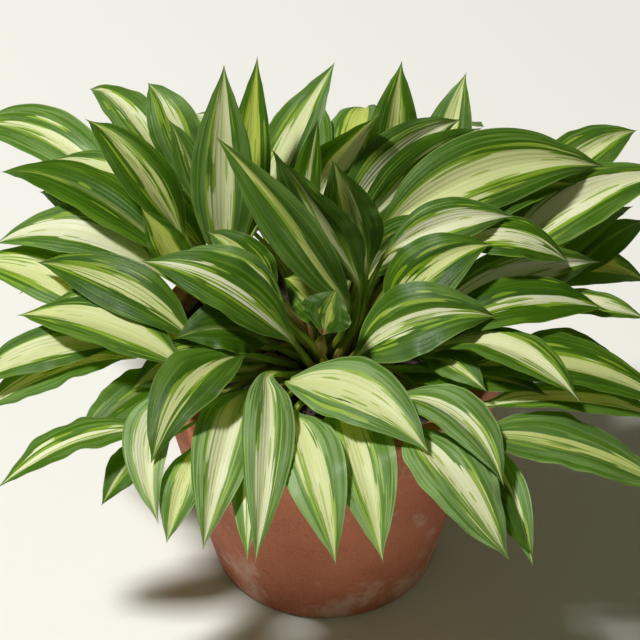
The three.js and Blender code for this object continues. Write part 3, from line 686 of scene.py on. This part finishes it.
def leaf_material():
    """A pale centre with flames of green along the veins, green margins and a pale stalk, all from where a
    point is on its leaf."""
    paint = LeafPaint()
    is_cream, is_light = pale_areas(paint)
    # Paleness here too is partly waxy bloom and partly a painted sheen of sunlight.
    light = paint.between(paint.paleness, LIGHT_GREEN)
    light = paint.mix(paint.ease(paint.broad, -0.5, 0.7, end=0.5), light, colour(*LIGHT_STREAK))
    blade = paint.mix(is_light, margin_colour(paint), light)
    blade = paint.mix(is_cream, blade, centre_colour(paint, light))
    # Darker along the veins, which lie in the pleats' furrows, and less so on the cream: partly the veins'
    # own green, partly painted shade.
    vein = paint.from_middle(paint.line(paint.c, VEINS_A_SIDE, FIRST_STRIP))
    vein_and_furrow_shade = paint.times(paint.ease(vein, 0.38, 0.5, end=0.3), paint.line(is_cream, -0.7, 1.0))
    blade = paint.mix(vein_and_furrow_shade, blade, paint.mix(0.5, blade, colour(*VEIN_GREEN_AND_SHADE)))
    # Paler at the very margin: partly the leaf's own rim, partly a painted highlight on the edge.
    blade = paint.mix(paint.ease(paint.off, 0.96, 0.985, end=0.3), blade, colour(*MARGIN_RIM_AND_HIGHLIGHT))
    blade = paint.mix(paint.times(paint.rib, 0.6), blade, colour(*MIDRIB))
    whole = paint.mix(paint.ease(paint.u, -0.06, 0.05), stalk_colour(paint), blade)
    whole = paint.mix(paint.times(paint.underside, 0.25), whole, colour(*UNDERSIDE))
    # Painted shade: leaves that stood in shade are darkened as a whole towards a deep green.
    whole = paint.mix(paint.darkness, whole, colour(*PAINTED_SHADE_GREEN))
    grain = paint.leaf_noise(60.0, 40.0, paint.seed)
    surface = {
        "Base Color": whole,
        "Roughness": paint.ease(grain, 0.3, 0.7, 0.34, 0.5),
        "Specular IOR Level": 0.24,
        "Coat Weight": 0.05,
        "Coat Roughness": 0.3,
        "Normal": paint.bump(paint.line(vein, -1.6, paint.times(grain, 0.7)), 0.0005, 0.55),
    }
    glow = paint.mix(is_cream, colour(*GREEN_GLOW), colour(*CREAM_GLOW))
    glow = paint.mix(paint.ease(is_cream, 0.0, 1.0, 0.8, 0.65), whole, glow)
    through = paint.node("ShaderNodeBsdfTranslucent", {"Color": glow}).outputs[0]
    mixed = {0: GLOW_SHARE, 1: paint.principled(surface), 2: through}
    return paint.finish(paint.node("ShaderNodeMixShader", mixed).outputs[0])


def soil_material():
    """Crumbly garden soil with damp patches."""
    paint = Paint("garden_soil")
    place = paint.place()
    crumbs = paint.noise(place, scale=260.0, detail=4.0, roughness=0.65)
    damp = paint.noise(place, scale=22.0, detail=3.0)
    base = paint.between(paint.ease(crumbs, 0.35, 0.7), SOIL_COLOURS)
    base = paint.mix(paint.ease(damp, 0.35, 0.6, end=0.6), base, colour(*SOIL_DAMP))
    surface = {"Base Color": base, "Roughness": 0.92, "Normal": paint.bump(crumbs, 0.0012)}
    return paint.finish(paint.principled(surface))


def clay_material():
    """Fired clay: warm, with paler bloom, darker specks and fine turning rings."""
    paint = Paint("fired_clay")
    place = paint.place()
    x, y, z = paint.parts(place)
    clouds = paint.noise(place, scale=9.0, detail=5.0, roughness=0.6)
    grain = paint.noise(place, scale=420.0, detail=3.0, roughness=0.6)
    specks = paint.noise(place, scale=150.0)
    rings = paint.vector(paint.times(x, 0.05), paint.times(y, 0.05), z)
    rings = paint.noise(rings, scale=260.0, detail=3.0)
    base = paint.between(paint.ease(clouds, 0.3, 0.7), CLAY_COLOURS)
    base = paint.mix(paint.ease(grain, 0.4, 0.75, end=0.35), base, colour(*CLAY_GRAIN))
    base = paint.mix(paint.ease(specks, 0.66, 0.74, end=0.5), base, colour(*CLAY_SPECK))
    bloom = paint.noise(place, scale=16.0, detail=6.0, roughness=0.7)
    low = paint.ease(z, 0.09, 0.0, end=0.16)
    high = paint.ease(z, 0.21, 0.28, end=0.1)
    bloom = paint.math("ADD", bloom, paint.math("ADD", low, high))
    base = paint.mix(paint.ease(bloom, 0.58, 0.74, end=0.5), base, colour(*CLAY_BLOOM))
    height = paint.line(rings, 0.7, paint.times(grain, 0.3))
    surface = {
        "Base Color": base,
        "Roughness": paint.ease(clouds, 0.3, 0.7, 0.78, 0.9),
        "Normal": paint.bump(height, 0.0006),
    }
    return paint.finish(paint.principled(surface))


def floor_material():
    paint = Paint("pale_floor")
    return paint.finish(paint.principled({"Base Color": colour(*FLOOR_COLOUR), "Roughness": 0.75}))


def add_mesh(name, corners, faces, material):
    mesh = bpy.data.meshes.new(name)
    mesh.from_pydata(corners, [], faces)
    mesh.polygons.foreach_set("use_smooth", [True] * len(mesh.polygons))
    mesh.materials.append(material)
    piece = bpy.data.objects.new(name, mesh)
    bpy.context.scene.collection.objects.link(piece)
    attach(piece, "root")
    return piece


def look_of(name, rng):
    """The markings and the tint of a leaf."""
    drawn = rng.choice(OTHER_PATTERNS), rng.uniform(*OTHER_PALENESS), rng.uniform(*OTHER_PAINTED_SHADE)
    pattern, paleness, darkness = LOOKS.get(name, drawn)
    cream, streaks, warmth = PATTERNS[pattern]
    cream += rng.uniform(-CREAM_STRAY, CREAM_STRAY)
    warmth += rng.uniform(-WARMTH_STRAY, WARMTH_STRAY)
    return (cream, streaks, warmth), (paleness, darkness, float(name == YOUNGEST))


def mark_margins(mesh, c):
    """Marks the edges along the leaves' margins as sharp. c is each corner's place across its leaf."""
    margin = np.abs(c) > MARGIN
    ends = np.empty(len(mesh.edges) * 2, np.int32)
    mesh.edges.foreach_get("vertices", ends)
    sharp = margin[ends.reshape(-1, 2)].all(axis=1)
    mesh.attributes.new("sharp_edge", "BOOLEAN", "EDGE").data.foreach_set("value", sharp)


def add_leaves(node, material):
    """The leaves of one node of the model, in finer form."""
    names = node.split("_", 1)[1].split("_and_")
    corners, faces, rows = [], [], []
    for name, (rings, tip) in zip(names, leaves_of(node), strict=True):
        rng = random.Random(name)
        markings, tint = look_of(name, rng)
        points, own, u, c, underside, rib = leaf_mesh(rings, tip, rng)
        start = sum(map(len, corners))
        corners.append(points)
        faces += [[i + start for i in face] for face in own]
        place = np.stack([u, c, np.full(len(u), rng.uniform(0, SEEDS))], 1)
        build = np.stack([rib, underside, np.zeros(len(u))], 1)
        rows.append([place, np.tile(markings, (len(u), 1)), np.tile(tint, (len(u), 1)), build])
    piece = add_mesh(f"{node}_fine", np.concatenate(corners), faces, material)
    for name, values in zip(("place", "markings", "tint", "build"), zip(*rows)):
        attribute = piece.data.attributes.new(name, "FLOAT_VECTOR", "POINT")
        attribute.data.foreach_set("vector", np.concatenate(values).astype(np.float32).ravel())
    mark_margins(piece.data, np.concatenate([leaf[0][:, 1] for leaf in rows]))
    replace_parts(piece, node)


def soil_height(x, y, radius):
    """How high the soil's rough surface is."""
    slope = SOIL_DOME * max(0.0, (math.hypot(x, y) - CROWN_EDGE) / (radius - CROWN_EDGE))
    height = SOIL_LEVEL - slope + SOIL_LIFT
    for size, scale, layer in ROUGHNESS:
        height += size * noise.noise(Vector((x, y, layer)) * scale)
    return height


def add_soil(material, radius):
    """The soil: a rough crumbly surface on a plain body."""
    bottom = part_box("soil")[0].z
    circle = [2 * math.pi * s / SOIL_SPOKES for s in range(SOIL_SPOKES)]
    corners = [(0, 0, soil_height(0, 0, radius))]
    for r in range(1, SOIL_RINGS + 1):
        reach = radius * r / SOIL_RINGS
        for angle in circle:
            x, y = reach * math.cos(angle), reach * math.sin(angle)
            corners.append((x, y, soil_height(x, y, radius)))
    wall_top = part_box("pot")[1].z - RIM_DEPTH
    for reach, z in ((radius, wall_top), (FOOT_RADIUS - WALL, bottom)):
        corners += [(reach * math.cos(angle), reach * math.sin(angle), z) for angle in circle]
    corners.append((0, 0, bottom))
    last = 1 + (SOIL_RINGS + 1) * SOIL_SPOKES
    faces = []
    for s in range(SOIL_SPOKES):
        t = (s + 1) % SOIL_SPOKES
        faces.append((0, 1 + s, 1 + t))
        for r in range(SOIL_RINGS + 1):
            inner, outer = 1 + r * SOIL_SPOKES, 1 + (r + 1) * SOIL_SPOKES
            faces.append((inner + s, outer + s, outer + t, inner + t))
        faces.append((last + s, len(corners) - 1, last + t))
    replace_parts(add_mesh("soil_body", corners, faces, material), "soil")


def add_crumbs(material, radius):
    """Loose crumbs that lie on the soil."""
    rng = random.Random(CRUMB_SEED)
    shape = bmesh.new()
    for _ in range(CRUMBS):
        reach, angle = (radius - CRUMB_FREE_EDGE) * math.sqrt(rng.random()), rng.uniform(0, 2 * math.pi)
        x, y = reach * math.cos(angle), reach * math.sin(angle)
        size = CRUMB_RADIUS + CRUMB_GROWTH * rng.random() ** 2
        stretch = Vector([rng.uniform(*span) for span in CRUMB_STRETCH])
        seed = Vector((rng.uniform(0, CRUMB_SHAPES), 0, 0))
        heading = rng.uniform(0, 2 * math.pi)
        cosine, sine = math.cos(heading), math.sin(heading)
        z = soil_height(x, y, radius) + CRUMB_RISE * size
        for v in bmesh.ops.create_icosphere(shape, subdivisions=2, radius=1)["verts"]:
            lump = 1 + CRUMB_LUMPS * noise.noise(v.co * CRUMB_LUMP_SCALE + seed)
            p = Vector([a * b for a, b in zip(v.co * lump * size, stretch)])
            v.co = (x + p.x * cosine - p.y * sine, y + p.x * sine + p.y * cosine, z + p.z)
    shape.verts.index_update()
    corners = [tuple(v.co) for v in shape.verts]
    faces = [tuple(v.index for v in face.verts) for face in shape.faces]
    shape.free()
    add_mesh("soil_crumbs", corners, faces, material)


def pot_section():
    """The pot's section, from the middle of its underside round to the middle of its floor."""
    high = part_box("pot")[1]
    rim, top = high.y, high.z
    under = top - RIM_DEPTH
    neck = rim - RIM_STEP
    slope = (neck - FOOT_RADIUS) / under
    inner = neck - WALL
    angles = np.linspace(0, math.pi / 2, EDGE_STEPS)
    upper_edge = [(EDGE_ROUND * (1 - math.cos(t)), EDGE_ROUND * (1 - math.sin(t))) for t in angles]
    lower_edge = upper_edge[::-1]
    section = [(DRAIN_CIRCLE, 0)]
    section += [(FOOT_RADIUS - a, b) for a, b in lower_edge]
    section += [(FOOT_RADIUS + slope * z, z) for z in np.linspace(SIDE_FROM, under, SIDE_RINGS)]
    section += [(rim - a, under + b) for a, b in lower_edge]
    section += [(rim, z) for z in np.linspace(under + BAND_INSET, top - BAND_INSET, BAND_RINGS)]
    section += [(rim - a, top - b) for a, b in upper_edge]
    section += [(inner + a, top - b) for a, b in lower_edge]
    section += [(inner, under), (FOOT_RADIUS - WALL + slope * FLOOR_THICKNESS, FLOOR_THICKNESS)]
    return section


def drain_drill():
    """The shape that is cut out of the pot's floor: one round bar for each drain hole."""
    drill = bmesh.new()
    for i in range(DRAIN_HOLES):
        angle = 2 * math.pi * (i + 0.5) / DRAIN_HOLES
        x, y = DRAIN_CIRCLE * math.cos(angle), DRAIN_CIRCLE * math.sin(angle)
        size = {"radius1": DRAIN_RADIUS, "radius2": DRAIN_RADIUS, "depth": DRILL_DEPTH}
        made = bmesh.ops.create_cone(drill, segments=32, cap_ends=True, **size)
        bmesh.ops.translate(drill, verts=made["verts"], vec=(x, y, FLOOR_THICKNESS / 2))
    tool = bpy.data.objects.new("drill", bpy.data.meshes.new("drill"))
    drill.to_mesh(tool.data)
    drill.free()
    bpy.context.scene.collection.objects.link(tool)
    return tool


def add_pot(material):
    """The clay pot, turned from its section and drilled."""
    section = pot_section()
    corners, faces = [], []
    for reach, z in section:
        reach += TURNING_DEPTH * noise.noise(Vector((0, 0, z * TURNING_SCALE)))
        for s in range(POT_SPOKES):
            angle = 2 * math.pi * s / POT_SPOKES
            corners.append((reach * math.cos(angle), reach * math.sin(angle), z))
    last = (len(section) - 1) * POT_SPOKES
    for lower in range(0, last, POT_SPOKES):
        upper = lower + POT_SPOKES
        for s in range(POT_SPOKES):
            t = (s + 1) % POT_SPOKES
            faces.append((lower + s, lower + t, upper + t, upper + s))
    faces.append(tuple(range(POT_SPOKES))[::-1])
    faces.append(tuple(range(last, last + POT_SPOKES)))
    pot = add_mesh("pot_turned", corners, faces, material)
    tool = drain_drill()
    cut = pot.modifiers.new("drain holes", "BOOLEAN")
    cut.operation, cut.object, cut.solver = "DIFFERENCE", tool, "EXACT"
    bpy.context.view_layer.update()
    drilled = bpy.data.meshes.new_from_object(pot.evaluated_get(bpy.context.evaluated_depsgraph_get()))
    pot.modifiers.clear()
    pot.data = drilled
    bpy.data.objects.remove(tool)
    sharpen(drilled, CRISP_ANGLE)
    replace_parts(pot, "pot")


def sharpen(mesh, angle):
    """Marks the edges where the surface turns by more than angle, so that they stay crisp."""
    shape = bmesh.new()
    shape.from_mesh(mesh)
    for edge in shape.edges:
        edge.smooth = len(edge.link_faces) == 2 and edge.calc_face_angle(0) < angle
    shape.to_mesh(mesh)
    shape.free()


def add_floor():
    far = FLOOR_REACH
    mesh = bpy.data.meshes.new("floor")
    mesh.from_pydata([(-far, -far, 0), (far, -far, 0), (far, far, 0), (-far, far, 0)], [], [(0, 1, 2, 3)])
    mesh.materials.append(floor_material())
    floor = bpy.data.objects.new("floor", mesh)
    bpy.context.scene.collection.objects.link(floor)


def add_lamp(name, place, size, power, tint):
    """A square lamp that faces the crown."""
    lamp = bpy.data.objects.new(name, bpy.data.lights.new(name, "AREA"))
    lamp.data.size = size
    lamp.data.energy = power
    lamp.data.color = tint
    lamp.location = place
    lamp.rotation_euler = (Vector(place) - Vector((0, 0, SOIL_LEVEL))).to_track_quat("Z", "Y").to_euler()
    bpy.context.scene.collection.objects.link(lamp)


def add_sky():
    world = bpy.data.worlds.new("studio")
    world.use_nodes = True
    background = world.node_tree.nodes["Background"]
    background.inputs["Color"].default_value = SKY_TINT
    background.inputs["Strength"].default_value = SKY_STRENGTH
    bpy.context.scene.world = world
    bpy.context.scene.view_settings.view_transform = "Standard"


def add_camera():
    """The camera, which sees the plant as the photograph does."""
    camera = bpy.data.objects.new("camera", bpy.data.cameras.new("camera"))
    camera.data.sensor_width = SENSOR
    camera.data.lens = SENSOR * VIEW_DISTANCE / (PIXELS * PIXEL_AT_CROWN)
    camera.data.shift_x = -(CROWN_PIXEL[0] - PIXELS / 2) / PIXELS
    camera.data.shift_y = (CROWN_PIXEL[1] - PIXELS / 2) / PIXELS
    back = Vector((0, -math.cos(VIEW_TILT), math.sin(VIEW_TILT))) * VIEW_DISTANCE
    camera.location = Vector((0, 0, SOIL_LEVEL)) + back
    camera.rotation_euler = (math.pi / 2 - VIEW_TILT, 0, 0)
    bpy.context.scene.collection.objects.link(camera)
    bpy.context.scene.camera = camera


add_floor()
for name, lamp in LAMPS.items():
    add_lamp(name, *lamp)
add_sky()
add_camera()
leaf = leaf_material()
earth = soil_material()
soil_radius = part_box("soil")[1].x
add_pot(clay_material())
add_soil(earth, soil_radius)
add_crumbs(earth, soil_radius)
for node in sorted(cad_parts):
    if node not in ("pot", "soil"):
        add_leaves(node, leaf)
